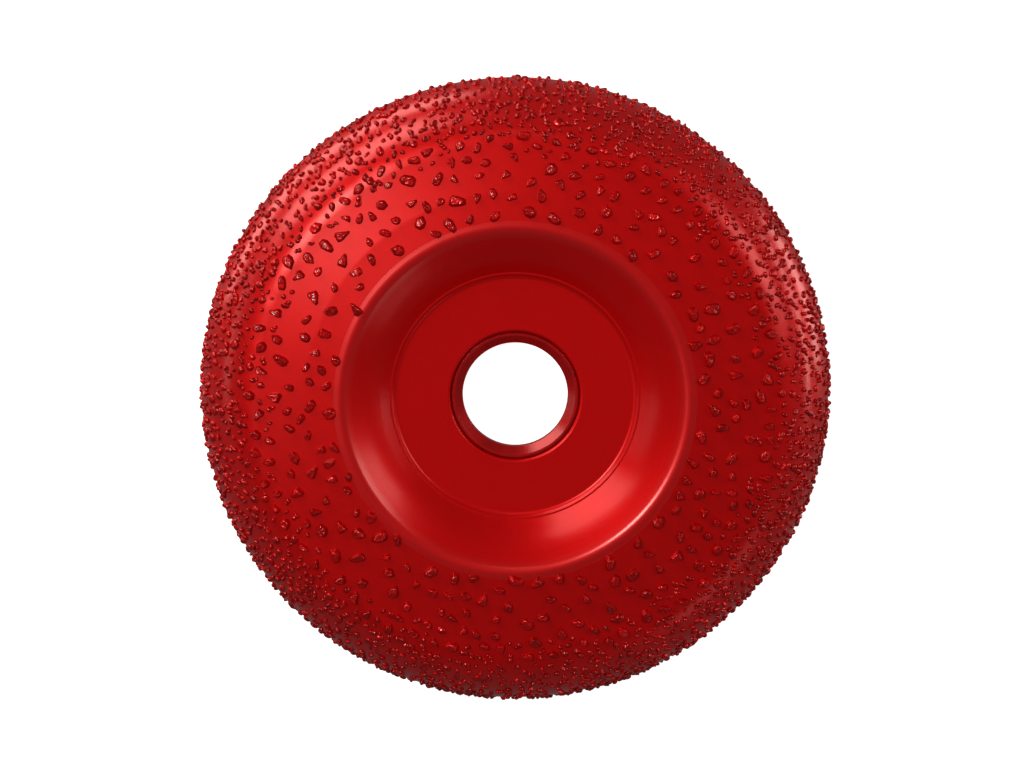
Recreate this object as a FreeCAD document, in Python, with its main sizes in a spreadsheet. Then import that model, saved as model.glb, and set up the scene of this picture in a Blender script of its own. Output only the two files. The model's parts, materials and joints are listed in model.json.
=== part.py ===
import FreeCAD, Part
import Sketcher
import math
import os
import random

# A dished carving disc for an angle grinder: a turned steel dish with a deep hub recess, a loose
# reducing ring in the hub's bore, a braze skin over the working face and shoulder, and carbide
# crystals held in that skin: coarse angular shards on the face, fine grit round the shoulder.
# The origin is the centre of the hub's back face, and +Z points out of the working side.

# ---------------------------------------------------------------- driving dimensions, in mm
SIZES = {
    # the steel dish
    "disc_radius": 48.4,  # outside of the bare skirt
    "hub_bore_radius": 10.0,  # bore that takes the reducing ring
    "hub_thickness": 3.5,
    "hub_seat_radius": 18.2,  # outer edge of the flat back face
    "stop_lip_radius": 9.4,  # retaining edge left at the back of the bore
    "stop_lip_height": 0.6,
    "floor_radius": 18.55,  # flat floor of the recess
    "ledge_radius": 19.05,  # a narrow ledge turned round the floor's edge
    "ledge_rise": 0.45,
    "ledge_width": 0.3,
    "ledge_round": 0.1,
    "wall_knee_radius": 22.3,  # the recess wall swells here: steep below it, easier above
    "wall_knee_rise": 3.0,  # above the floor
    "wall_round": 18.0,
    "back_knee_offset": 1.0,  # the wall's back swells this far outside the front
    "back_knee_drop": 1.75,
    "rim_radius": 26.5,  # where the recess wall meets the working face
    "recess_depth": 5.2,
    "face_fall": 8.0,  # slope of the working face, in degrees
    "shell_thickness": 2.0,
    "back_rim_offset": 1.6,  # the back corner stands this far outside the front rim
    "skirt_drop": 4.5,  # how far the skirt hangs below the hub's back face
    "shoulder_round": 10.0,
    "rim_round": 2.5,
    "floor_round": 1.0,
    "bore_lip_round": 0.4,
    "skirt_edge_round": 0.5,
    # the reducing ring
    "spindle_bore_radius": 8.1,
    "ring_clearance": 0.03,  # radial, in the hub's bore
    "ring_front_gap": 0.4,  # the ring's front stands this far below the floor
    "ring_front_bevel": 0.3,
    "ring_land_radius": 9.3,
    "ring_sink_depth": 0.9,
    "ring_back_bevel": 0.2,
    # the braze skin
    "braze_thickness": 0.15,
    "braze_start_radius": 27.3,
    "braze_feather": 0.4,  # width of its tapered inner edge
    "braze_skirt_margin": 0.3,  # bare steel left above the skirt's edge
    # the coarse carbide shards
    "shard_count": 285,
    "shard_end_radius": 41.0,
    "shard_half_length": 1.25,
    "shard_half_width": 0.92,
    "shard_rise": 0.8,
    "shard_sink": 0.1,
    "shard_lean": 0.22,  # steepest slope of the broken top, rise over run
    # the fine carbide grit
    "grit_count": 1750,
    "grit_start_radius": 37.8,
    "grit_dense_radius": 40.8,  # thinly strewn up to here, full from here on
    "grit_skirt_share": 0.35,  # density on the upright skirt, as a share of the fullest
    "grit_half_length": 0.6,
    "grit_half_width": 0.52,
    "grit_rise": 0.5,
    "grit_sink": 0.08,
    "grit_lean": 0.25,
    "grain_gap": 0.04,  # least gap between two crystals
}

doc = FreeCAD.newDocument("carving_disc")
sizes = doc.addObject("Spreadsheet::Sheet", "sizes")
for row, (alias, value) in enumerate(SIZES.items(), start=1):
    sizes.set(f"A{row}", alias.replace("_", " "))
    sizes.set(f"B{row}", str(value))
    sizes.setAlias(f"B{row}", alias)
doc.recompute()


def number(expression):
    """What an expression on the sheet's cells comes to."""
    return float(sizes.evalExpression(expression))


def size(alias):
    return number(f"sizes.{alias}")


# ---------------------------------------------------------------- expressions that several pieces share
RIM_HEIGHT = "(sizes.hub_thickness + sizes.recess_depth)"
SKIRT_INSIDE = "(sizes.disc_radius - sizes.shell_thickness)"
SKIN_RADIUS = "(sizes.disc_radius + sizes.braze_thickness)"
SKIN_FOOT = "(sizes.braze_skirt_margin - sizes.skirt_drop)"
SKIN_FACE_START = "(sizes.braze_start_radius + sizes.braze_feather)"


def face_height(radius, lift="0"):
    """Height of the sloping working face at a radius, raised square to it by lift."""
    fall = f"({radius} - sizes.rim_radius) * tan(sizes.face_fall)"
    return f"{RIM_HEIGHT} - {fall} + ({lift}) / cos(sizes.face_fall)"


# ---------------------------------------------------------------- turned pieces
def origin_feature(body, role):
    return next(feature for feature in body.Origin.OriginFeatures if feature.Role == role)


def turned_body(label, corners):
    """A body turned round Z from a closed section, whose corners are (radius, height) expressions."""
    body = doc.addObject("PartDesign::Body", label)
    body.Label = label
    sketch = body.newObject("Sketcher::SketchObject", label + "_section")
    sketch.AttachmentSupport = [(origin_feature(body, "XZ_Plane"), "")]
    sketch.MapMode = "FlatFace"
    points = [FreeCAD.Vector(number(radius), number(height), 0) for radius, height in corners]
    count = len(points)
    for edge in range(count):
        after = (edge + 1) % count
        sketch.addGeometry(Part.LineSegment(points[edge], points[after]), False)
    for edge in range(count):
        after = (edge + 1) % count
        sketch.addConstraint(Sketcher.Constraint("Coincident", edge, 2, after, 1))
    for edge, (radius, height) in enumerate(corners):
        across = Sketcher.Constraint("DistanceX", -1, 1, edge, 1, points[edge].x)
        sketch.setExpression(f"Constraints[{sketch.addConstraint(across)}]", radius)
        upward = Sketcher.Constraint("DistanceY", -1, 1, edge, 1, points[edge].y)
        sketch.setExpression(f"Constraints[{sketch.addConstraint(upward)}]", height)
    turning = body.newObject("PartDesign::Revolution", label + "_turning")
    turning.Profile = sketch
    turning.ReferenceAxis = (origin_feature(body, "Z_Axis"), [""])
    turning.Angle = 360.0
    doc.recompute()
    return body


def round_corners(body, name, radius, corners):
    """Round the circular edges that the section's given corners have turned into."""
    base = body.Tip
    wanted = []
    for corner_radius, corner_height in corners:
        for index, edge in enumerate(base.Shape.Edges, start=1):
            if not isinstance(edge.Curve, Part.Circle):
                continue
            wide_of_it = abs(edge.Curve.Radius - number(corner_radius))
            above_it = abs(edge.Curve.Center.z - number(corner_height))
            if wide_of_it + above_it < 1e-4:
                wanted.append(f"Edge{index}")
    if len(wanted) != len(corners):
        raise RuntimeError(f"{name}: found {len(wanted)} of {len(corners)} edges")
    fillet = body.newObject("PartDesign::Fillet", name)
    fillet.Base = (base, wanted)
    fillet.setExpression("Radius", radius)
    doc.recompute()


def make_dish():
    back_rim_radius = "(sizes.rim_radius + sizes.back_rim_offset)"
    back_rim = (back_rim_radius, face_height(back_rim_radius, "-sizes.shell_thickness"))
    inner_shoulder = (SKIRT_INSIDE, face_height(SKIRT_INSIDE, "-sizes.shell_thickness"))
    skirt_inner_edge = (SKIRT_INSIDE, "-sizes.skirt_drop")
    skirt_outer_edge = ("sizes.disc_radius", "-sizes.skirt_drop")
    outer_shoulder = ("sizes.disc_radius", face_height("sizes.disc_radius"))
    rim = ("sizes.rim_radius", RIM_HEIGHT)
    knee_height = "sizes.hub_thickness + sizes.wall_knee_rise"
    knee = ("sizes.wall_knee_radius", knee_height)
    back_knee_radius = "sizes.wall_knee_radius + sizes.back_knee_offset"
    back_knee = (back_knee_radius, f"{knee_height} - sizes.back_knee_drop")
    ledge_height = "sizes.hub_thickness + sizes.ledge_rise"
    wall_foot = ("sizes.ledge_radius + sizes.ledge_width", ledge_height)
    ledge_edge = ("sizes.ledge_radius", ledge_height)
    floor_edge = ("sizes.floor_radius", "sizes.hub_thickness")
    bore_lip = ("sizes.hub_bore_radius", "sizes.hub_thickness")
    body = turned_body(
        "disc_body",
        [
            ("sizes.stop_lip_radius", "0"),
            ("sizes.hub_seat_radius", "0"),
            back_knee,
            back_rim,
            inner_shoulder,
            skirt_inner_edge,
            skirt_outer_edge,
            outer_shoulder,
            rim,
            knee,
            wall_foot,
            ledge_edge,
            floor_edge,
            bore_lip,
            ("sizes.hub_bore_radius", "sizes.stop_lip_height"),
            ("sizes.stop_lip_radius", "sizes.stop_lip_height"),
        ],
    )
    round_corners(body, "shoulder_outside", "sizes.shoulder_round", [outer_shoulder])
    shoulder_inside = "sizes.shoulder_round - sizes.shell_thickness"
    round_corners(body, "shoulder_inside", shoulder_inside, [inner_shoulder])
    round_corners(body, "wall_swell", "sizes.wall_round", [knee])
    back_swell = "sizes.wall_round - sizes.shell_thickness"
    round_corners(body, "wall_swell_back", back_swell, [back_knee])
    round_corners(body, "rim_crest", "sizes.rim_round", [rim])
    round_corners(body, "recess_foot", "sizes.floor_round", [floor_edge, back_rim])
    round_corners(body, "ledge_lip", "sizes.ledge_round", [ledge_edge])
    round_corners(body, "bore_lip", "sizes.bore_lip_round", [bore_lip])
    round_corners(body, "skirt_edge", "sizes.skirt_edge_round", [skirt_outer_edge, skirt_inner_edge])
    return body


def make_reducing_ring():
    front = "(sizes.hub_thickness - sizes.ring_front_gap)"
    outside = "(sizes.hub_bore_radius - sizes.ring_clearance)"
    return turned_body(
        "reducing_ring",
        [
            ("sizes.spindle_bore_radius + sizes.ring_back_bevel", "sizes.stop_lip_height"),
            (f"{outside} - sizes.ring_back_bevel", "sizes.stop_lip_height"),
            (outside, "sizes.stop_lip_height + sizes.ring_back_bevel"),
            (outside, f"{front} - sizes.ring_front_bevel"),
            (f"{outside} - sizes.ring_front_bevel", front),
            ("sizes.ring_land_radius", front),
            ("sizes.spindle_bore_radius", f"{front} - sizes.ring_sink_depth"),
            ("sizes.spindle_bore_radius", "sizes.stop_lip_height + sizes.ring_back_bevel"),
        ],
    )


def make_braze_skin():
    inner_shoulder = ("sizes.disc_radius", face_height("sizes.disc_radius"))
    outer_shoulder = (SKIN_RADIUS, face_height(SKIN_RADIUS, "sizes.braze_thickness"))
    body = turned_body(
        "braze_coat",
        [
            ("sizes.braze_start_radius", face_height("sizes.braze_start_radius")),
            inner_shoulder,
            ("sizes.disc_radius", SKIN_FOOT),
            (SKIN_RADIUS, SKIN_FOOT),
            outer_shoulder,
            (SKIN_FACE_START, face_height(SKIN_FACE_START, "sizes.braze_thickness")),
        ],
    )
    round_corners(body, "skin_inside", "sizes.shoulder_round", [inner_shoulder])
    skin_round = "sizes.shoulder_round + sizes.braze_thickness"
    round_corners(body, "skin_outside", skin_round, [outer_shoulder])
    return body


# ---------------------------------------------------------------- the skin's outline, where the carbide sits
# From the rim outward: the sloping face, the round bend of the shoulder, then the upright skirt.
slope = math.radians(size("face_fall"))
skin_radius = number(SKIN_RADIUS)
bend_radius = size("shoulder_round") + size("braze_thickness")
bend_angle = math.pi / 2 - slope
bend_tangent = bend_radius * math.tan(bend_angle / 2)
face_start = number(SKIN_FACE_START)
face_start_height = number(face_height(SKIN_FACE_START, "sizes.braze_thickness"))
face_length = (skin_radius - face_start) / math.cos(slope) - bend_tangent
bend_centre_height = number(face_height(SKIN_RADIUS, "sizes.braze_thickness")) - bend_tangent
bend_length = bend_angle * bend_radius
skirt_length = bend_centre_height - number(SKIN_FOOT)


def outline_at(distance):
    """Radius, height and tilt away from +Z at a distance along the skin's outline."""
    if distance < face_length:
        radius = face_start + distance * math.cos(slope)
        return radius, face_start_height - distance * math.sin(slope), slope
    if distance < face_length + bend_length:
        tilt = slope + (distance - face_length) / bend_radius
        radius = skin_radius - bend_radius * (1 - math.sin(tilt))
        return radius, bend_centre_height + bend_radius * math.cos(tilt), tilt
    down = distance - face_length - bend_length
    return skin_radius, bend_centre_height - down, math.pi / 2


def distance_to(radius):
    """Distance along the outline to a radius on the face or the bend."""
    on_face = (radius - face_start) / math.cos(slope)
    if on_face < face_length:
        return on_face
    tilt = math.asin(1 - (skin_radius - radius) / bend_radius)
    return face_length + (tilt - slope) * bend_radius


def seat(distance, turn, spin):
    """Placement on the skin: local Z stands off the surface, and spin turns the crystal about it."""
    radius, height, tilt = outline_at(distance)
    place = FreeCAD.Vector(radius * math.cos(turn), radius * math.sin(turn), height)
    round_disc = FreeCAD.Rotation(FreeCAD.Vector(0, 0, 1), math.degrees(turn))
    lean_out = FreeCAD.Rotation(FreeCAD.Vector(0, 1, 0), math.degrees(tilt))
    about_itself = FreeCAD.Rotation(FreeCAD.Vector(0, 0, 1), spin)
    return FreeCAD.Placement(place, round_disc * lean_out * about_itself)


# ---------------------------------------------------------------- crystal shapes, seen from above
def cut_corners(corners, least, most, chance):
    """The outline with each corner broken off, so that it leaves two blunt ones."""
    points = []
    for index, (across, along) in enumerate(corners):
        for neighbour in (corners[index - 1], corners[(index + 1) % len(corners)]):
            share = chance.uniform(least, most)
            shift = (share * (neighbour[0] - across), share * (neighbour[1] - along))
            points.append((across + shift[0], along + shift[1]))
    return points


def wedge_outline(length, width, chance):
    """A blunt three-cornered splinter."""
    nose = (length * 1.15, chance.uniform(-0.35, 0.35) * width)
    left = (-length * chance.uniform(0.8, 1.0), width * chance.uniform(1.0, 1.15))
    right = (-length * chance.uniform(0.75, 1.0), -width * chance.uniform(1.0, 1.15))
    return cut_corners([nose, left, right], 0.14, 0.24, chance)


def teardrop_outline(length, width, chance):
    """A pointed nose and a round tail."""
    points = [(length, chance.uniform(-0.2, 0.2) * width)]
    for degrees in (65, 115, 155, 205, 245, 295):
        angle = math.radians(degrees)
        swell = chance.uniform(0.86, 1.0)
        points.append((length * 0.88 * swell * math.cos(angle), width * swell * math.sin(angle)))
    return points


def block_outline(length, width, chance):
    """A four-sided chunk with blunt corners, wider at one end."""
    taper = chance.uniform(0.55, 0.9)
    corners = [
        (length * 0.95, width * taper * chance.uniform(0.7, 1.0)),
        (-length * chance.uniform(0.8, 1.0), width * chance.uniform(0.85, 1.0)),
        (-length * chance.uniform(0.8, 1.0), -width * chance.uniform(0.85, 1.0)),
        (length * 0.95, -width * taper * chance.uniform(0.7, 1.0)),
    ]
    return cut_corners(corners, 0.16, 0.3, chance)


def chip_outline(length, width, chance):
    """A small four-sided chip, longer than wide."""
    return [
        (length * 0.85, width * chance.uniform(0.45, 0.75)),
        (-length * chance.uniform(0.75, 0.95), width * chance.uniform(0.55, 0.85)),
        (-length * chance.uniform(0.75, 0.95), -width * chance.uniform(0.55, 0.85)),
        (length * 0.85, -width * chance.uniform(0.45, 0.75)),
    ]


def bead_outline(length, width, chance):
    """A nearly round grain of six unequal sides."""
    points = []
    for step in range(6):
        angle = math.radians(60 * step + chance.uniform(-12, 12))
        swell = chance.uniform(0.86, 1.0)
        points.append((length * swell * math.cos(angle), width * swell * math.sin(angle)))
    return points


def crystal(outline, rise, sink, lean, chance):
    """A closed crystal on its outline: flat sides that lean in to one apex, cut by a sloping top."""
    height = rise + sink
    narrowing = chance.uniform(0.28, 0.42)
    apex = FreeCAD.Vector(chance.uniform(-0.1, 0.1), chance.uniform(-0.1, 0.1), height / narrowing)
    uphill = chance.uniform(0, 2 * math.pi)
    steepness = lean * chance.uniform(0.3, 1.0)
    climb = FreeCAD.Vector(steepness * math.cos(uphill), steepness * math.sin(uphill), 0)
    foot = [FreeCAD.Vector(across, along, 0) for across, along in outline]
    top = []
    for corner in foot:
        edge = apex - corner
        share = (height + climb.dot(corner)) / (edge.z - climb.dot(edge))
        top.append(corner + edge * share)
    rings = [foot, top]
    for step in range(len(foot)):
        after = (step + 1) % len(foot)
        rings.append([foot[step], foot[after], top[after], top[step]])
    faces = [Part.Face(Part.makePolygon(ring + ring[:1])) for ring in rings]
    shell = Part.Shell(faces)
    shell.sewShape()
    solid = Part.Solid(shell)
    if solid.Volume < 0:
        solid.reverse()
    solid.translate(FreeCAD.Vector(0, 0, -sink))
    return solid


# ---------------------------------------------------------------- strewing the crystals
class Spacing:
    """Keeps crystals apart: a grid of cubes, each listing the crystals whose centres it holds."""

    def __init__(self, cube):
        self.cube = cube
        self.held = {}

    def key(self, place):
        return tuple(math.floor(value / self.cube) for value in place)

    def is_free(self, place, reach):
        home = self.key(place)
        for step in range(27):
            near = (home[0] + step % 3 - 1, home[1] + step // 3 % 3 - 1, home[2] + step // 9 - 1)
            for other, other_reach in self.held.get(near, []):
                if (place - other).Length < reach + other_reach:
                    return False
        return True

    def hold(self, place, reach):
        self.held.setdefault(self.key(place), []).append((place, reach))


def patchiness(place):
    """Rises and falls between 0.12 and 1 in patches a few millimetres across."""
    across = math.sin(place.x / 0.9 + 2 * math.sin(place.y / 2.1) + place.z / 1.3)
    along = math.sin(place.y / 0.9 + 2 * math.sin(place.x / 2.3) - place.z / 1.7)
    return min(max(0.6 + 0.7 * across * along, 0.12), 1.0)


LEAST_GROWTH, MOST_GROWTH = 0.75, 1.2  # the crystals' own sizes vary between these
spacing = Spacing(2 * (size("shard_half_length") * MOST_GROWTH + size("grain_gap")))


def scatter(family, shapes, shortest, longest, full_radius, patchy, chance):
    """Strew a family of crystals along a stretch of the outline.

    They thin out towards its start from full_radius, and patchy ones leave bare places.
    Gives (radius, kind, solid) for each.
    """
    made = []
    wanted = int(size(f"{family}_count"))
    start_radius = outline_at(shortest)[0]
    skirt_share = size("grit_skirt_share")
    for attempt in range(80 * wanted):
        if len(made) == wanted:
            break
        distance = chance.uniform(shortest, longest)
        radius, _, tilt = outline_at(distance)
        density = radius / skin_radius * max(math.cos(tilt), skirt_share)
        if radius < full_radius:
            density *= 0.15 + 0.85 * (radius - start_radius) / (full_radius - start_radius)
        if chance.random() > density:
            continue
        growth = chance.uniform(LEAST_GROWTH, MOST_GROWTH)
        length = size(f"{family}_half_length") * growth
        width = size(f"{family}_half_width") * growth * chance.uniform(0.85, 1.1)
        placement = seat(distance, chance.uniform(0, 2 * math.pi), chance.uniform(0, 360))
        if patchy and chance.random() > patchiness(placement.Base):
            continue
        reach = length + size("grain_gap") / 2
        if not spacing.is_free(placement.Base, reach):
            continue
        spacing.hold(placement.Base, reach)
        kind = chance.choice(sorted(shapes))
        outline = shapes[kind](length, width, chance)
        rise = size(f"{family}_rise") * chance.uniform(0.8, 1.15)
        solid = crystal(outline, rise, size(f"{family}_sink"), size(f"{family}_lean"), chance)
        solid.Placement = placement.multiply(solid.Placement)
        made.append((radius, kind, solid))
    return made


def crystal_nodes(crystals, zones, title):
    """One node for each kind in each zone, holding its separate crystals as a group of solids."""
    nodes = []
    for zone, inner, outer in zones:
        for kind in sorted({kind for _, kind, _ in crystals}):
            group = [solid for at, what, solid in crystals if what == kind and inner <= at < outer]
            label = title.format(kind=kind, zone=zone)
            node = doc.addObject("Part::Feature", label)
            node.Label = label
            node.Shape = Part.makeCompound(group)
            node.Placement = FreeCAD.Placement()
            nodes.append(node)
    return nodes


def make_shards():
    shapes = {"wedge": wedge_outline, "teardrop": teardrop_outline, "block": block_outline}
    clear_of_edge = size("shard_half_width") / 2
    end = size("shard_end_radius")
    crystals = scatter("shard", shapes, clear_of_edge, distance_to(end), 0, False, random.Random(41))
    third = (end - face_start) / 3
    zones = [
        ("inner", face_start, face_start + third),
        ("middle", face_start + third, end - third),
        ("outer", end - third, skin_radius),
    ]
    return crystal_nodes(crystals, zones, "coarse_{kind}_shards_{zone}")


def make_grit():
    shapes = {"bead": bead_outline, "chip": chip_outline}
    start = size("grit_start_radius")
    dense = size("grit_dense_radius")
    end = face_length + bend_length + skirt_length - size("grit_half_length")
    crystals = scatter("grit", shapes, distance_to(start), end, dense, True, random.Random(43))
    upper, lower = (face_length + bend_length * share for share in (0.45, 0.72))
    shoulder_end = outline_at(upper)[0]
    rim_end = outline_at(lower)[0]
    zones = [
        ("face_edge", 0, dense),
        ("shoulder", dense, shoulder_end),
        ("rim", shoulder_end, rim_end),
        ("skirt", rim_end, skin_radius + 1),
    ]
    return crystal_nodes(crystals, zones, "fine_{kind}_grit_{zone}")


# ---------------------------------------------------------------- build, check and write
sub_parts = [make_dish(), make_reducing_ring(), make_braze_skin()]
sub_parts += make_shards()
sub_parts += make_grit()
doc.recompute()

for item in doc.Objects:
    if "Invalid" in item.State or "Error" in item.State:
        raise RuntimeError(f"{item.Label} failed: {item.State}")
for item in sub_parts:
    if item.Shape.isNull() or not item.Shape.isValid():
        raise RuntimeError(f"{item.Label} has no valid shape")

os.makedirs("parts", exist_ok=True)
for item in sub_parts:
    item.Shape.exportStep(f"parts/{item.Label}.step")
    box = item.Shape.optimalBoundingBox()
    print(f"{item.Label}: {len(item.Shape.Solids)} solids, z {box.ZMin:.2f} to {box.ZMax:.2f}")
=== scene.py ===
import json
import math
import random

import bmesh
import bpy
import numpy as np
from mathutils import Matrix, Quaternion, Vector, noise


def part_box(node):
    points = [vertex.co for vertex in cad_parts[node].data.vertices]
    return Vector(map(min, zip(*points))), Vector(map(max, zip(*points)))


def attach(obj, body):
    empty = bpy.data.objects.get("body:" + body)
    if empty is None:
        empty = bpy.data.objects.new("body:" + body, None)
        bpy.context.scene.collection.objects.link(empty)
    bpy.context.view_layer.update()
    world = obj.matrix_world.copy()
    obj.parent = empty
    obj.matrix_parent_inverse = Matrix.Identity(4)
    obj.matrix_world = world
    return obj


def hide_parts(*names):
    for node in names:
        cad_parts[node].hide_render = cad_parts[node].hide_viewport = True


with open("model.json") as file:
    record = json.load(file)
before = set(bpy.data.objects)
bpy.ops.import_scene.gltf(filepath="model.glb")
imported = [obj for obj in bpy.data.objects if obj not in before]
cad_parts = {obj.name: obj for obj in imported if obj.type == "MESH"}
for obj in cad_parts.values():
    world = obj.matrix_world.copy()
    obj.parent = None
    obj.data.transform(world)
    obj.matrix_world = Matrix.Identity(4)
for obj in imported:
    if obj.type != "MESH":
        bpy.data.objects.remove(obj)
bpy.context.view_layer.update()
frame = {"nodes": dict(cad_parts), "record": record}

# The looks of a dished carving disc: a turned steel dish in candy-red paint, a loose reducing ring
# in its bore, and a skin of painted braze that holds coarse carbide shards and fine carbide grit.

MM = 0.001

# ---------------------------------------------------------------- sizes
# Taken from the frame where it gives them.
mounts = {mount["name"]: mount for mount in frame["record"]["mounts"]}
disc_low, disc_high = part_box("disc_body")
skin_low, skin_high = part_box("braze_coat")
ring_low, ring_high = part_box("reducing_ring")

DISC_RADIUS = disc_high.x
DISC_FOOT = disc_low.z
FLOOR_HEIGHT = mounts["clamp_nut_seat"]["pos_m"][2]
SPINDLE_BORE = mounts["spindle_bore"]["dims"]["r_mm"] * MM
SKIN_RADIUS = skin_high.x
SKIN_THICKNESS = SKIN_RADIUS - DISC_RADIUS
SKIN_FOOT = skin_low.z
RING_RADIUS = ring_high.x
RING_BACK = ring_low.z
RING_FRONT = ring_high.z

FACE_SLOPE = math.radians(8)
SHELL = 2.0 * MM
HUB_BORE = 10.0 * MM
STOP_LIP = 9.4 * MM
HUB_SEAT = 18.2 * MM
FLOOR_RADIUS = 18.55 * MM
LEDGE_RADIUS = 19.05 * MM  # a narrow ledge round the floor's edge
LEDGE_HEIGHT = FLOOR_HEIGHT + 0.45 * MM
LEDGE_WIDTH = 0.3 * MM
RIM_RADIUS = 26.5 * MM
BACK_RIM = RIM_RADIUS + 1.6 * MM
RIM_HEIGHT = FLOOR_HEIGHT + 5.2 * MM
CREST = (24.8 * MM, 26.2 * MM)  # the gloss grows between these radii
KNEE_RADIUS = 22.3 * MM  # the recess wall swells here
KNEE_HEIGHT = FLOOR_HEIGHT + 3.0 * MM
BACK_KNEE_RADIUS = KNEE_RADIUS + 1.0 * MM
BACK_KNEE_HEIGHT = KNEE_HEIGHT - 1.75 * MM
WALL_ROUND = 18.0 * MM
RIM_ROUND = 2.5 * MM
SHOULDER_ROUND = 10.0 * MM
SKIN_START = 27.3 * MM
GRIT_START = 37.8 * MM
GRIT_DENSE = 40.8 * MM
SHOULDER_GLOSS = (41.0 * MM, 44.5 * MM)  # the gloss grows between these radii


def face_height(radius, lift=0.0):
    """Height of the working face's cone at a radius, raised square to it by lift."""
    return RIM_HEIGHT - (radius - RIM_RADIUS) * math.tan(FACE_SLOPE) + lift / math.cos(FACE_SLOPE)


# the skin's outline from the rim outward: the sloping face, the round bend, the upright skirt
BEND_ROUND = SHOULDER_ROUND + SKIN_THICKNESS
BEND_TURN = math.pi / 2 - FACE_SLOPE
BEND_RADIUS = SKIN_RADIUS - BEND_ROUND  # of the bend's centre, from the axis
BEND_HEIGHT = face_height(SKIN_RADIUS, SKIN_THICKNESS) - BEND_ROUND * math.tan(BEND_TURN / 2)


def skin_tilt(radius, height):
    """How far the skin near a place leans away from +Z."""
    tilt = math.atan2(radius - BEND_RADIUS, height - BEND_HEIGHT)
    return min(max(tilt, FACE_SLOPE), math.pi / 2)


def outward(turn, tilt):
    """Unit vector off the skin."""
    return Vector((math.sin(tilt) * math.cos(turn), math.sin(tilt) * math.sin(turn), math.cos(tilt)))


def on_skin(place):
    """The point of the skin nearest to a place, and the unit vector off the skin there."""
    radius = math.hypot(place.x, place.y)
    turn = math.atan2(place.y, place.x)
    tilt = skin_tilt(radius, place.z)
    height = place.z
    if place.z < BEND_HEIGHT:
        radius = SKIN_RADIUS
        tilt = math.pi / 2
    elif tilt > FACE_SLOPE:
        radius = BEND_RADIUS + BEND_ROUND * math.sin(tilt)
        height = BEND_HEIGHT + BEND_ROUND * math.cos(tilt)
    else:
        height = face_height(radius, SKIN_THICKNESS)
    return Vector((radius * math.cos(turn), radius * math.sin(turn), height)), outward(turn, tilt)


# ---------------------------------------------------------------- paint finishes
class Reading:
    """A socket of a finish's node, with arithmetic on numbers that adds Math nodes."""

    def __init__(self, finish, socket):
        self.finish = finish
        self.socket = socket

    def maths(self, operation, *values):
        settings = {"operation": operation}
        return self.finish.add("ShaderNodeMath", settings, dict(enumerate(values)))[0]

    def __add__(self, other):
        return self.maths("ADD", self, other)

    def __radd__(self, other):
        return self.maths("ADD", other, self)

    def __mul__(self, other):
        return self.maths("MULTIPLY", self, other)

    def __pow__(self, other):
        return self.maths("POWER", self, other)


class Outputs:
    """The outputs of one node, by name or number."""

    def __init__(self, finish, node):
        self.finish = finish
        self.node = node

    def __getitem__(self, name):
        return Reading(self.finish, self.node.outputs[name])


class Finish:
    """A material built from expressions."""

    def __init__(self, name):
        self.material = bpy.data.materials.new(name)
        self.material.use_nodes = True
        self.tree = self.material.node_tree
        self.tree.nodes.clear()
        self.place = self.add("ShaderNodeTexCoord", {}, {})["Object"]
        self.axes = self.add("ShaderNodeSeparateXYZ", {}, {"Vector": self.place})

    def add(self, kind, settings, sockets):
        node = self.tree.nodes.new(kind)
        for name, value in settings.items():
            setattr(node, name, value)
        for name, value in sockets.items():
            if isinstance(value, Reading):
                self.tree.links.new(value.socket, node.inputs[name])
            else:
                node.inputs[name].default_value = value
        return Outputs(self, node)

    def radius(self):
        """Distance from the disc's axis."""
        return (self.axes["X"] * self.axes["X"] + self.axes["Y"] * self.axes["Y"]) ** 0.5

    def cloud(self, size, detail=2.0, roughness=0.5):
        """Soft noise from 0 to 1 whose lumps are about size across, in metres."""
        sockets = {"Vector": self.place, "Scale": 1 / size, "Detail": detail, "Roughness": roughness}
        return self.add("ShaderNodeTexNoise", {}, sockets)["Fac"]

    def rings(self, pitch):
        """Noise that varies only with the distance from the axis, like lathe marks."""
        settings = {"noise_dimensions": "1D"}
        sockets = {"W": self.radius(), "Scale": 1 / pitch, "Detail": 3.0, "Roughness": 0.6}
        return self.add("ShaderNodeTexNoise", settings, sockets)["Fac"]

    def flakes(self, size):
        """A different shade from 0 to 1 for each little cell, like metal flakes in paint."""
        sockets = {"Vector": self.place, "Scale": 1 / size}
        cells = self.add("ShaderNodeTexVoronoi", {}, sockets)["Color"]
        return self.add("ShaderNodeSeparateColor", {}, {"Color": cells})["Red"]

    def between(self, share, low, high):
        """share carried from 0..1 to low..high, kept inside them."""
        sockets = {"Value": share, "To Min": low, "To Max": high}
        return self.add("ShaderNodeMapRange", {}, sockets)["Result"]

    def step(self, value, start, end):
        """0 below start, 1 above end, smooth in between."""
        settings = {"interpolation_type": "SMOOTHSTEP"}
        sockets = {"Value": value, "From Min": start, "From Max": end}
        return self.add("ShaderNodeMapRange", settings, sockets)["Result"]

    def blend(self, share, first, second):
        """Mix of two colours."""
        settings = {"data_type": "RGBA"}
        return self.add("ShaderNodeMix", settings, {0: share, 6: first, 7: second})[2]

    def relief(self, height, depth, below=None):
        """Normal of a surface whose height runs from 0 to 1 over depth metres."""
        sockets = {"Height": height, "Distance": depth, "Strength": 1.0}
        if below is not None:
            sockets["Normal"] = below
        return self.add("ShaderNodeBump", {}, sockets)["Normal"]

    def paint(self, colour, roughness, normal, metallic, shine, coat, coat_roughness):
        sockets = {
            "Base Color": colour,
            "Roughness": roughness,
            "Metallic": metallic,
            "Specular IOR Level": shine,
            "Normal": normal,
            "Coat Weight": coat,
            "Coat Roughness": coat_roughness,
        }
        shader = self.add("ShaderNodeBsdfPrincipled", {}, sockets)["BSDF"]
        self.add("ShaderNodeOutputMaterial", {}, {"Surface": shader})
        return self.material


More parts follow.
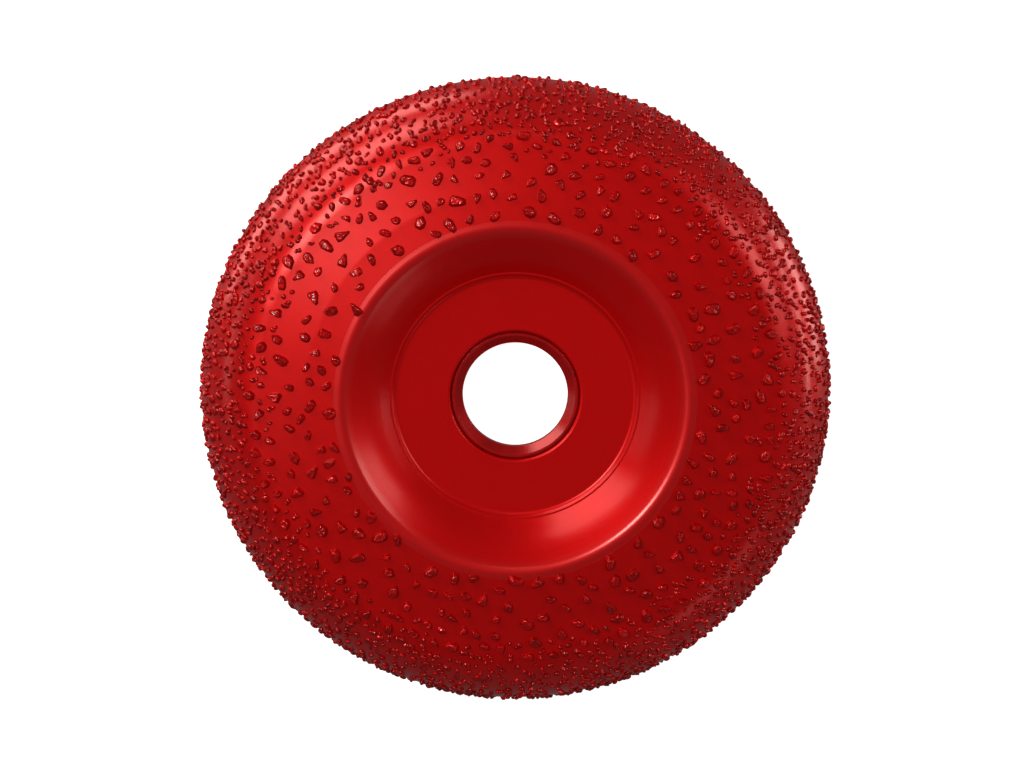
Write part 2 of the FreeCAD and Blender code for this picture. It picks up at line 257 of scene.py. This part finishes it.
# DEEP_RED is a darker red; on the crystals it stands for painted shade
DEEP_RED = (0.30, 0.0004, 0.0008, 1)
CANDY_RED = (0.58, 0.0006, 0.0012, 1)
BRIGHT_RED = (0.70, 0.0012, 0.0016, 1)


def turned_paint():
    """Satin candy red over turned steel: faint lathe marks and fine metal flake. The marks also
    carry painted shade in their grooves and a painted highlight on their ridges.
    """
    finish = Finish("candy_red_on_turned_steel")
    marks = finish.rings(0.34 * MM)
    faded = finish.step(finish.cloud(9 * MM), 0.35, 0.65)
    # painted shade and highlight: the lathe marks darken the red in their grooves and lighten it on
    # their ridges; the cloud and flakes are the paint's own tone
    shade = finish.cloud(6 * MM) * 0.35 + finish.flakes(0.10 * MM) * 0.2 + marks * 0.45
    colour = finish.blend(shade, CANDY_RED, BRIGHT_RED)
    roughness = finish.between(finish.cloud(3 * MM) * 0.4 + marks * 0.6, 0.37, 0.47)
    normal = finish.relief(finish.cloud(0.5 * MM, 1.0), 2.0e-6)
    normal = finish.relief(marks * (0.35 + faded * 0.65), 14.0e-6, normal)
    coat = 0.42 + finish.step(finish.radius(), *CREST) * 0.58
    return finish.paint(colour, roughness, normal, 0.50, 0.0, coat, 0.22)


def ring_paint():
    """The same red on the reducing ring, closer turned and a little darker."""
    finish = Finish("candy_red_on_ring")
    marks = finish.rings(0.12 * MM)
    colour = finish.blend(finish.cloud(2 * MM), DEEP_RED, CANDY_RED)
    roughness = finish.between(marks, 0.32, 0.44)
    normal = finish.relief(marks, 5.0e-6)
    return finish.paint(colour, roughness, normal, 0.50, 0.0, 0.80, 0.22)


def skin_paint():
    """Red over braze: satin on the open face, glossier and lumpier where the grit is thick."""
    finish = Finish("candy_red_on_braze")
    marks = finish.rings(0.26 * MM)
    # painted shade and highlight: the ring marks darken the red a little in their grooves and
    # lighten it on their ridges; the cloud and flakes are the paint's own tone
    shade = finish.cloud(5 * MM) * 0.5 + finish.flakes(0.10 * MM) * 0.25 + marks * 0.25
    colour = finish.blend(shade, CANDY_RED, BRIGHT_RED)
    rough_zone = finish.step(finish.radius(), GRIT_START, GRIT_DENSE)
    roughness = finish.between(finish.cloud(1.5 * MM, 3.0), 0.36, 0.46)
    lumps = finish.cloud(1.6 * MM, 2.0) * (0.10 + rough_zone * 0.90)
    normal = finish.relief(finish.cloud(0.45 * MM, 1.0), 2.5e-6)
    normal = finish.relief(marks, 3.0e-6, normal)
    normal = finish.relief(lumps, 36.0e-6, normal)
    coat = 0.45 + finish.step(finish.radius(), *SHOULDER_GLOSS) * 0.55
    return finish.paint(colour, roughness, normal, 0.50, 0.0, coat, 0.24)


def crystal_paint(name, grain, depth):
    """Red over broken carbide: pitted tops, with a shade of its own for every crystal or so. The red
    is painted darker than on the skin, as painted shade, and the pits darken its hollows and lighten
    its rises, as painted shade and highlight.
    """
    finish = Finish(name)
    pits = finish.cloud(grain, 4.0, 0.65)
    shade = finish.cloud(3 * MM) * 0.45 + pits * 0.55
    # painted shade: the crystals run from DEEP_RED to BRIGHT_RED, darker overall than the skin's
    # red, and darkest in the hollows of the pits
    colour = finish.blend(finish.step(shade, 0.38, 0.66), DEEP_RED, BRIGHT_RED)
    roughness = finish.between(pits, 0.22, 0.38)
    normal = finish.relief(pits, depth)
    return finish.paint(colour, roughness, normal, 0.55, 0.10, 0.50, 0.10)


TURNED = turned_paint()
RING = ring_paint()
SKIN = skin_paint()
SHARD = crystal_paint("candy_red_painted_shade_on_shards", 0.30 * MM, 100.0e-6)
GRIT = crystal_paint("candy_red_painted_shade_on_grit", 0.30 * MM, 24.0e-6)


# ---------------------------------------------------------------- making meshes
def new_piece(name, mesh, material, body, replaced):
    mesh.materials.clear()
    mesh.materials.append(material)
    mesh.shade_smooth()
    piece = bpy.data.objects.new(name, mesh)
    bpy.context.scene.collection.objects.link(piece)
    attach(piece, body)
    if replaced:
        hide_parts(*replaced)
    return piece


def rounded(corners, arc_step=math.radians(3.5), longest=1.2 * MM):
    """A closed outline of (radius, height) points through corners of (radius, height, round).

    Straight runs get a point close to each end, so that the shading stays flat between the rounds.
    """
    count = len(corners)
    arcs = []
    for index, (across, up, rounding) in enumerate(corners):
        here = Vector((across, up))
        before = Vector(corners[index - 1][:2]) - here
        after = Vector(corners[(index + 1) % count][:2]) - here
        before.normalize()
        after.normalize()
        half = before.angle(after) / 2
        start = here + before * (rounding / math.tan(half))
        centre = here + (before + after).normalized() * (rounding / math.sin(half))
        steps = max(2, math.ceil((math.pi - 2 * half) / arc_step))
        first = start - centre
        last = here + after * (rounding / math.tan(half)) - centre
        sweep = first.angle_signed(last)
        arc = []
        for step in range(steps + 1):
            turn = Matrix.Rotation(-sweep * step / steps, 2)
            arc.append(centre + turn @ first)
        arcs.append(arc)
    outline = []
    for index, arc in enumerate(arcs):
        outline += arc
        run_start = arc[-1]
        run = arcs[(index + 1) % count][0] - run_start
        margin = 0.06 * MM
        if run.length < 4 * margin:
            continue
        pieces = max(1, math.ceil(run.length / longest))
        stations = [margin / run.length]
        stations += [step / pieces for step in range(1, pieces)]
        stations += [1 - margin / run.length]
        outline += [run_start + run * station for station in stations]
    return outline


def turned_mesh(name, outline, segments, shift=None):
    """A closed ring of mesh turned round Z from a closed outline."""
    places = []
    for segment in range(segments):
        turn = 2 * math.pi * segment / segments
        for radius, height in outline:
            place = Vector((radius * math.cos(turn), radius * math.sin(turn), height))
            places.append(place + shift(place) if shift else place)
    count = len(outline)
    faces = []
    for segment in range(segments):
        here = segment * count
        there = (segment + 1) % segments * count
        for step in range(count):
            after = (step + 1) % count
            faces.append((here + step, there + step, there + after, here + after))
    mesh = bpy.data.meshes.new(name)
    mesh.from_pydata(places, [], faces)
    form = bmesh.new()
    form.from_mesh(mesh)
    bmesh.ops.recalc_face_normals(form, faces=form.faces)
    form.to_mesh(mesh)
    form.free()
    return mesh


class Heap:
    """Collects many small meshes into one."""

    def __init__(self):
        self.places = []
        self.faces = []
        self.count = 0

    def add(self, places, faces):
        self.places.append(np.asarray(places, dtype=float))
        self.faces += [[corner + self.count for corner in face] for face in faces]
        self.count += len(places)

    def mesh(self, name):
        mesh = bpy.data.meshes.new(name)
        mesh.from_pydata(np.concatenate(self.places).tolist(), [], self.faces)
        mesh.validate()
        return mesh


# ---------------------------------------------------------------- the turned pieces
def make_dish():
    edge = 0.08 * MM  # breaks the corners that the drawing leaves sharp
    inside = DISC_RADIUS - SHELL
    outline = rounded(
        [
            (STOP_LIP, 0.0, edge),
            (HUB_SEAT, 0.0, 0.6 * MM),
            (BACK_KNEE_RADIUS, BACK_KNEE_HEIGHT, WALL_ROUND - SHELL),
            (BACK_RIM, face_height(BACK_RIM, -SHELL), 1.0 * MM),
            (inside, face_height(inside, -SHELL), SHOULDER_ROUND - SHELL),
            (inside, DISC_FOOT, 0.5 * MM),
            (DISC_RADIUS, DISC_FOOT, 0.5 * MM),
            (DISC_RADIUS, face_height(DISC_RADIUS), SHOULDER_ROUND),
            (RIM_RADIUS, RIM_HEIGHT, RIM_ROUND),
            (KNEE_RADIUS, KNEE_HEIGHT, WALL_ROUND),
            (LEDGE_RADIUS + LEDGE_WIDTH, LEDGE_HEIGHT, 0.05 * MM),
            (LEDGE_RADIUS, LEDGE_HEIGHT, 0.1 * MM),
            (FLOOR_RADIUS, FLOOR_HEIGHT, 1.0 * MM),
            (HUB_BORE, FLOOR_HEIGHT, 0.4 * MM),
            (HUB_BORE, RING_BACK, edge),
            (STOP_LIP, RING_BACK, edge),
        ]
    )
    segments = 260
    mesh = turned_mesh("dish", outline, segments)
    new_piece("dish", mesh, TURNED, "disc", ["disc_body"])


def make_ring():
    edge = 0.05 * MM
    back_bevel = 0.2 * MM
    front_bevel = 0.3 * MM
    outline = rounded(
        [
            (SPINDLE_BORE + back_bevel, RING_BACK, edge),
            (RING_RADIUS - back_bevel, RING_BACK, edge),
            (RING_RADIUS, RING_BACK + back_bevel, edge),
            (RING_RADIUS, RING_FRONT - front_bevel, edge),
            (RING_RADIUS - front_bevel, RING_FRONT, edge),
            (9.3 * MM, RING_FRONT, 0.1 * MM),
            (SPINDLE_BORE, RING_FRONT - 0.9 * MM, 0.1 * MM),
            (SPINDLE_BORE, RING_BACK + back_bevel, edge),
        ]
    )
    segments = 240
    mesh = turned_mesh("bore_ring", outline, segments)
    new_piece("bore_ring", mesh, RING, "ring", ["reducing_ring"])


def make_skin():
    """The braze skin, feathered at the rim and lumpy where the grit is thick."""
    start_lift = 0.002 * MM
    full_start = SKIN_START + 5.0 * MM
    outline = rounded(
        [
            (SKIN_START, face_height(SKIN_START, -start_lift), 0.01 * MM),
            (DISC_RADIUS, face_height(DISC_RADIUS, -start_lift), SHOULDER_ROUND),
            (DISC_RADIUS - start_lift, SKIN_FOOT, 0.05 * MM),
            (SKIN_RADIUS, SKIN_FOOT, 0.12 * MM),
            (SKIN_RADIUS, face_height(SKIN_RADIUS, SKIN_THICKNESS), BEND_ROUND),
            (full_start, face_height(full_start, SKIN_THICKNESS), 12.0 * MM),
        ],
        arc_step=math.radians(3),
        longest=0.7 * MM,
    )

    def lumps(place):
        radius = math.hypot(place.x, place.y)
        share = min(max((radius - GRIT_START) / (GRIT_DENSE - GRIT_START), 0.0), 1.0)
        swell = noise.noise(place / (2.2 * MM)) * 0.035 * MM * share
        return outward(math.atan2(place.y, place.x), skin_tilt(radius, place.z)) * swell

    segments = 420
    mesh = turned_mesh("braze_skin", outline, segments, lumps)
    new_piece("braze_skin", mesh, SKIN, "disc", ["braze_coat"])


# ---------------------------------------------------------------- the carbide
def loose_crystals(node):
    """The corner points of each separate crystal of a CAD node."""
    form = bmesh.new()
    form.from_mesh(frame["nodes"][node].data)
    bmesh.ops.remove_doubles(form, verts=form.verts, dist=0.002 * MM)
    form.verts.index_update()
    seen = set()
    crystals = []
    for first in form.verts:
        if first.index in seen:
            continue
        seen.add(first.index)
        waiting = [first]
        corners = []
        while waiting:
            vert = waiting.pop()
            corners.append(vert.co.copy())
            for edge in vert.link_edges:
                other = edge.other_vert(vert)
                if other.index not in seen:
                    seen.add(other.index)
                    waiting.append(other)
        crystals.append(corners)
    form.free()
    return crystals


def broken(corners):
    """A shard with worn edges and a pitted, uneven top. Gives its places and faces."""
    root = 0.12 * MM  # its foot goes this much deeper than the solid's
    bevel = 0.10 * MM
    roughness = 0.09 * MM
    grain = 0.50 * MM
    centre = sum(corners, Vector()) / len(corners)
    _, off = on_skin(centre)
    levels = [(corner - centre).dot(off) for corner in corners]
    lowest, highest = min(levels), max(levels)
    form = bmesh.new()
    for corner, level in zip(corners, levels):
        is_foot = level < (lowest + highest) / 2
        form.verts.new(corner - off * root if is_foot else corner)
    hull = bmesh.ops.convex_hull(form, input=form.verts)
    inner = [item for item in hull["geom_interior"] if isinstance(item, bmesh.types.BMVert)]
    bmesh.ops.delete(form, geom=inner, context="VERTS")
    bmesh.ops.dissolve_limit(form, angle_limit=math.radians(2), verts=form.verts, edges=form.edges)
    bmesh.ops.bevel(
        form,
        geom=list(form.edges) + list(form.verts),
        offset=bevel,
        segments=2,
        profile=0.5,
        affect="EDGES",
        clamp_overlap=True,
    )
    bmesh.ops.triangulate(form, faces=form.faces)
    for longest, cuts in ((0.5 * MM, 2), (0.22 * MM, 1)):
        long_edges = [edge for edge in form.edges if edge.calc_length() > longest]
        bmesh.ops.subdivide_edges(form, edges=long_edges, cuts=cuts, use_grid_fill=True)
        bmesh.ops.triangulate(form, faces=form.faces)
    for vert in form.verts:
        level = (vert.co - centre).dot(off)
        share = min(max((level - lowest) / (highest - lowest), 0.0), 1.0)
        coarse = noise.noise_vector(vert.co / grain)
        fine = noise.noise_vector(vert.co / (0.4 * grain))
        vert.co += (coarse + fine * 0.5) * roughness * share
    form.verts.index_update()
    places = [tuple(vert.co) for vert in form.verts]
    faces = [[vert.index for vert in face.verts] for face in form.faces]
    form.free()
    return places, faces


def make_shards(nodes):
    """One piece for each CAD node of shards, each shard where its solid is."""
    for node in nodes:
        heap = Heap()
        for corners in loose_crystals(node):
            heap.add(*broken(corners))
        new_piece("rough_" + node, heap.mesh(node), SHARD, "disc", [node])


def bead_form(chance):
    """A worn grain on a unit ball: round between random flats, with a foot that spreads a little."""
    form = bmesh.new()
    bmesh.ops.create_icosphere(form, subdivisions=3, radius=1.0)
    flats = []
    for _ in range(8):
        flat = Vector((chance.gauss(0, 1), chance.gauss(0, 1), chance.gauss(0, 1))).normalized()
        flats.append((flat, chance.uniform(0.72, 0.95)))
    places = []
    for vert in form.verts:
        place = vert.co.normalized()
        swell = 1.0
        for flat, depth in flats:
            swell += max(place.dot(flat) / depth, 0.0) ** 8
        place = place * 1.06 * swell ** (-1 / 8)
        if place.z < 0:
            spread = 1 + 0.25 * min(-place.z, 1)
            place = Vector((place.x * spread, place.y * spread, place.z * 0.5))
        places.append(place)
    faces = [[vert.index for vert in face.verts] for face in form.faces]
    form.free()
    return np.array([tuple(place) for place in places]), faces


def put_bead(heap, bead, place, off, along, half_sizes):
    """Add a bead with its middle at a place, its top along off and its length along another way."""
    shape, faces = bead
    side = off.cross(along).normalized()
    axes = np.array([tuple(side.cross(off)), tuple(side), tuple(off)])
    heap.add((shape * np.array(half_sizes)) @ axes + np.array(place), faces)


def make_grit(nodes):
    """One piece for each CAD node of grit, with a worn grain where each solid is."""
    chance = random.Random(52)
    bead_kinds = 48
    beads = [bead_form(chance) for _ in range(bead_kinds)]
    anchors = []
    for node in nodes:
        heap = Heap()
        for corners in loose_crystals(node):
            centre = sum(corners, Vector()) / len(corners)
            foot, off = on_skin(centre)
            longest = max(corners, key=lambda corner: (corner - foot).length)
            along = longest - foot
            along -= off * along.dot(off)
            length = along.length
            along.normalize()
            side = off.cross(along)
            width = max(abs((corner - foot).dot(side)) for corner in corners)
            rise = max((corner - foot).dot(off) for corner in corners)
            place = foot + off * rise * 0.10
            half_sizes = (length, max(width, 0.6 * length), rise * 0.76)
            put_bead(heap, chance.choice(beads), place, off, along, half_sizes)
            anchors.append((foot, length))
        new_piece("rough_" + node, heap.mesh(node), GRIT, "disc", [node])
    return beads, anchors


def make_small_grains(beads, anchors):
    """Smaller grains that lean against the larger ones and join them into clumps."""
    chance = random.Random(77)
    heaps = {"upper": Heap(), "lower": Heap()}
    wanted = 1000
    usual_size = 0.38 * MM
    for foot, length in chance.sample(anchors, wanted):
        size = usual_size * chance.uniform(0.65, 1.2)
        _, off = on_skin(foot)
        sideways = off.orthogonal().normalized()
        sideways.rotate(Quaternion(off, chance.uniform(0, 2 * math.pi)))
        place, off = on_skin(foot + sideways * (length * 0.8 + size * 0.75))
        half_sizes = (size * chance.uniform(1.0, 1.35), size, size * chance.uniform(0.6, 0.85))
        half = "upper" if place.z > BEND_HEIGHT + 0.6 * BEND_ROUND else "lower"
        place += off * size * 0.1
        put_bead(heaps[half], chance.choice(beads), place, off, sideways, half_sizes)
    for half, heap in heaps.items():
        new_piece("small_grains_" + half, heap.mesh(half), GRIT, "disc", [])


NOISE_SEED = 31
noise.seed_set(NOISE_SEED)  # vector noise starts from the clock unless it is seeded

make_dish()
make_ring()
make_skin()
shard_nodes = sorted(name for name in frame["nodes"] if name.startswith("coarse_"))
grit_nodes = sorted(name for name in frame["nodes"] if name.startswith("fine_"))
make_shards(shard_nodes)
make_small_grains(*make_grit(grit_nodes))


# ---------------------------------------------------------------- studio
def make_floor():
    """A pale floor, bright enough that the disc's shadow stays faint."""
    finish = Finish("pale_floor")
    grain = finish.cloud(0.02, 3.0)
    colour = finish.blend(grain, (0.86, 0.86, 0.86, 1), (0.90, 0.90, 0.90, 1))
    sockets = {
        "Base Color": colour,
        "Roughness": 0.7,
        "Emission Color": (1, 1, 1, 1),
        "Emission Strength": 0.93,
    }
    shader = finish.add("ShaderNodeBsdfPrincipled", {}, sockets)["BSDF"]
    finish.add("ShaderNodeOutputMaterial", {}, {"Surface": shader})
    reach = 4.0
    form = bmesh.new()
    bmesh.ops.create_grid(form, x_segments=8, y_segments=8, size=reach)
    mesh = bpy.data.meshes.new("floor")
    form.to_mesh(mesh)
    form.free()
    mesh.materials.append(finish.material)
    floor = bpy.data.objects.new("floor", mesh)
    floor.location.z = DISC_FOOT - 0.01 * MM
    floor.visible_glossy = False
    floor.visible_diffuse = False
    floor.visible_shadow = False
    bpy.context.scene.collection.objects.link(floor)


def make_softbox(name, compass, off_axis, away, size, brightness):
    """A soft light aimed at the disc. compass is the bearing from +X towards +Y, size in metres."""
    data = bpy.data.lights.new(name, "AREA")
    data.shape = "RECTANGLE"
    data.size, data.size_y = size
    data.energy = 4 * brightness * size[0] * size[1]
    data.color = (1.0, 0.98, 0.90)
    light = bpy.data.objects.new(name, data)
    towards = outward(math.radians(compass), math.radians(off_axis))
    light.location = towards * away
    light.rotation_mode = "QUATERNION"
    light.rotation_quaternion = towards.to_track_quat("Z", "Y")
    bpy.context.scene.collection.objects.link(light)


def make_surroundings():
    """Dim light from all round; the sky itself shows pale."""
    world = bpy.data.worlds.new("studio")
    world.use_nodes = True
    tree = world.node_tree
    tree.nodes.clear()
    path = tree.nodes.new("ShaderNodeLightPath")
    dim = tree.nodes.new("ShaderNodeBackground")
    pale = tree.nodes.new("ShaderNodeBackground")
    choose = tree.nodes.new("ShaderNodeMixShader")
    output = tree.nodes.new("ShaderNodeOutputWorld")
    dim.inputs["Strength"].default_value = 0.13
    pale.inputs["Strength"].default_value = 1.0
    for background in (dim, pale):
        background.inputs["Color"].default_value = (1, 1, 1, 1)
    tree.links.new(path.outputs["Is Camera Ray"], choose.inputs[0])
    tree.links.new(dim.outputs[0], choose.inputs[1])
    tree.links.new(pale.outputs[0], choose.inputs[2])
    tree.links.new(choose.outputs[0], output.inputs["Surface"])
    bpy.context.scene.world = world


def make_camera():
    """Nearly straight down the axis, from a little above the disc's centre as it hangs in view."""
    tilt = math.radians(9.2)
    lens = 250.0
    sensor = 36.0
    radius_share = 0.3085  # of the view's width, taken by the disc's radius
    aside = -0.496 * MM
    raised = 0.760 * MM
    grit_radius = SKIN_RADIUS + 0.45 * MM
    away = lens / sensor * grit_radius / radius_share
    back = Vector((0, math.sin(tilt), math.cos(tilt)))
    up = Vector((0, math.cos(tilt), -math.sin(tilt)))
    aim = Vector((aside, 0, BEND_HEIGHT)) + up * raised
    data = bpy.data.cameras.new("camera")
    data.lens = lens
    data.sensor_width = sensor
    data.clip_start = 0.01
    camera = bpy.data.objects.new("camera", data)
    right = up.cross(back)
    frame_axes = Matrix((right, up, back)).transposed()
    camera.matrix_world = Matrix.Translation(aim + back * away) @ frame_axes.to_4x4()
    bpy.context.scene.collection.objects.link(camera)
    bpy.context.scene.camera = camera


make_floor()
make_surroundings()
make_softbox("overhead_softbox", 151, 25, 0.95, (0.20, 0.20), 17.5)
make_softbox("side_fill", 20, 48, 0.90, (0.30, 0.30), 3.2)
make_softbox("upper_strip", 130, 68, 0.80, (0.58, 0.36), 3.2)
make_softbox("left_strip", 176, 75, 0.80, (0.40, 0.16), 0.8)
make_softbox("right_strip", 8, 85, 0.80, (0.50, 0.12), 3.6)
make_softbox("left_kick", 205, 27, 0.95, (0.10, 0.10), 0.7)
make_softbox("top_kick", 90, 27, 0.95, (0.10, 0.10), 1.6)
make_softbox("lower_fill", 310, 60, 0.90, (0.30, 0.20), 0.65)
make_softbox("upper_rim_light", 135, 112, 0.60, (0.75, 0.20), 2.6)
make_softbox("right_rim_light", 12, 112, 0.60, (0.30, 0.20), 2.6)
make_camera()
bpy.context.scene.view_settings.view_transform = "Standard"
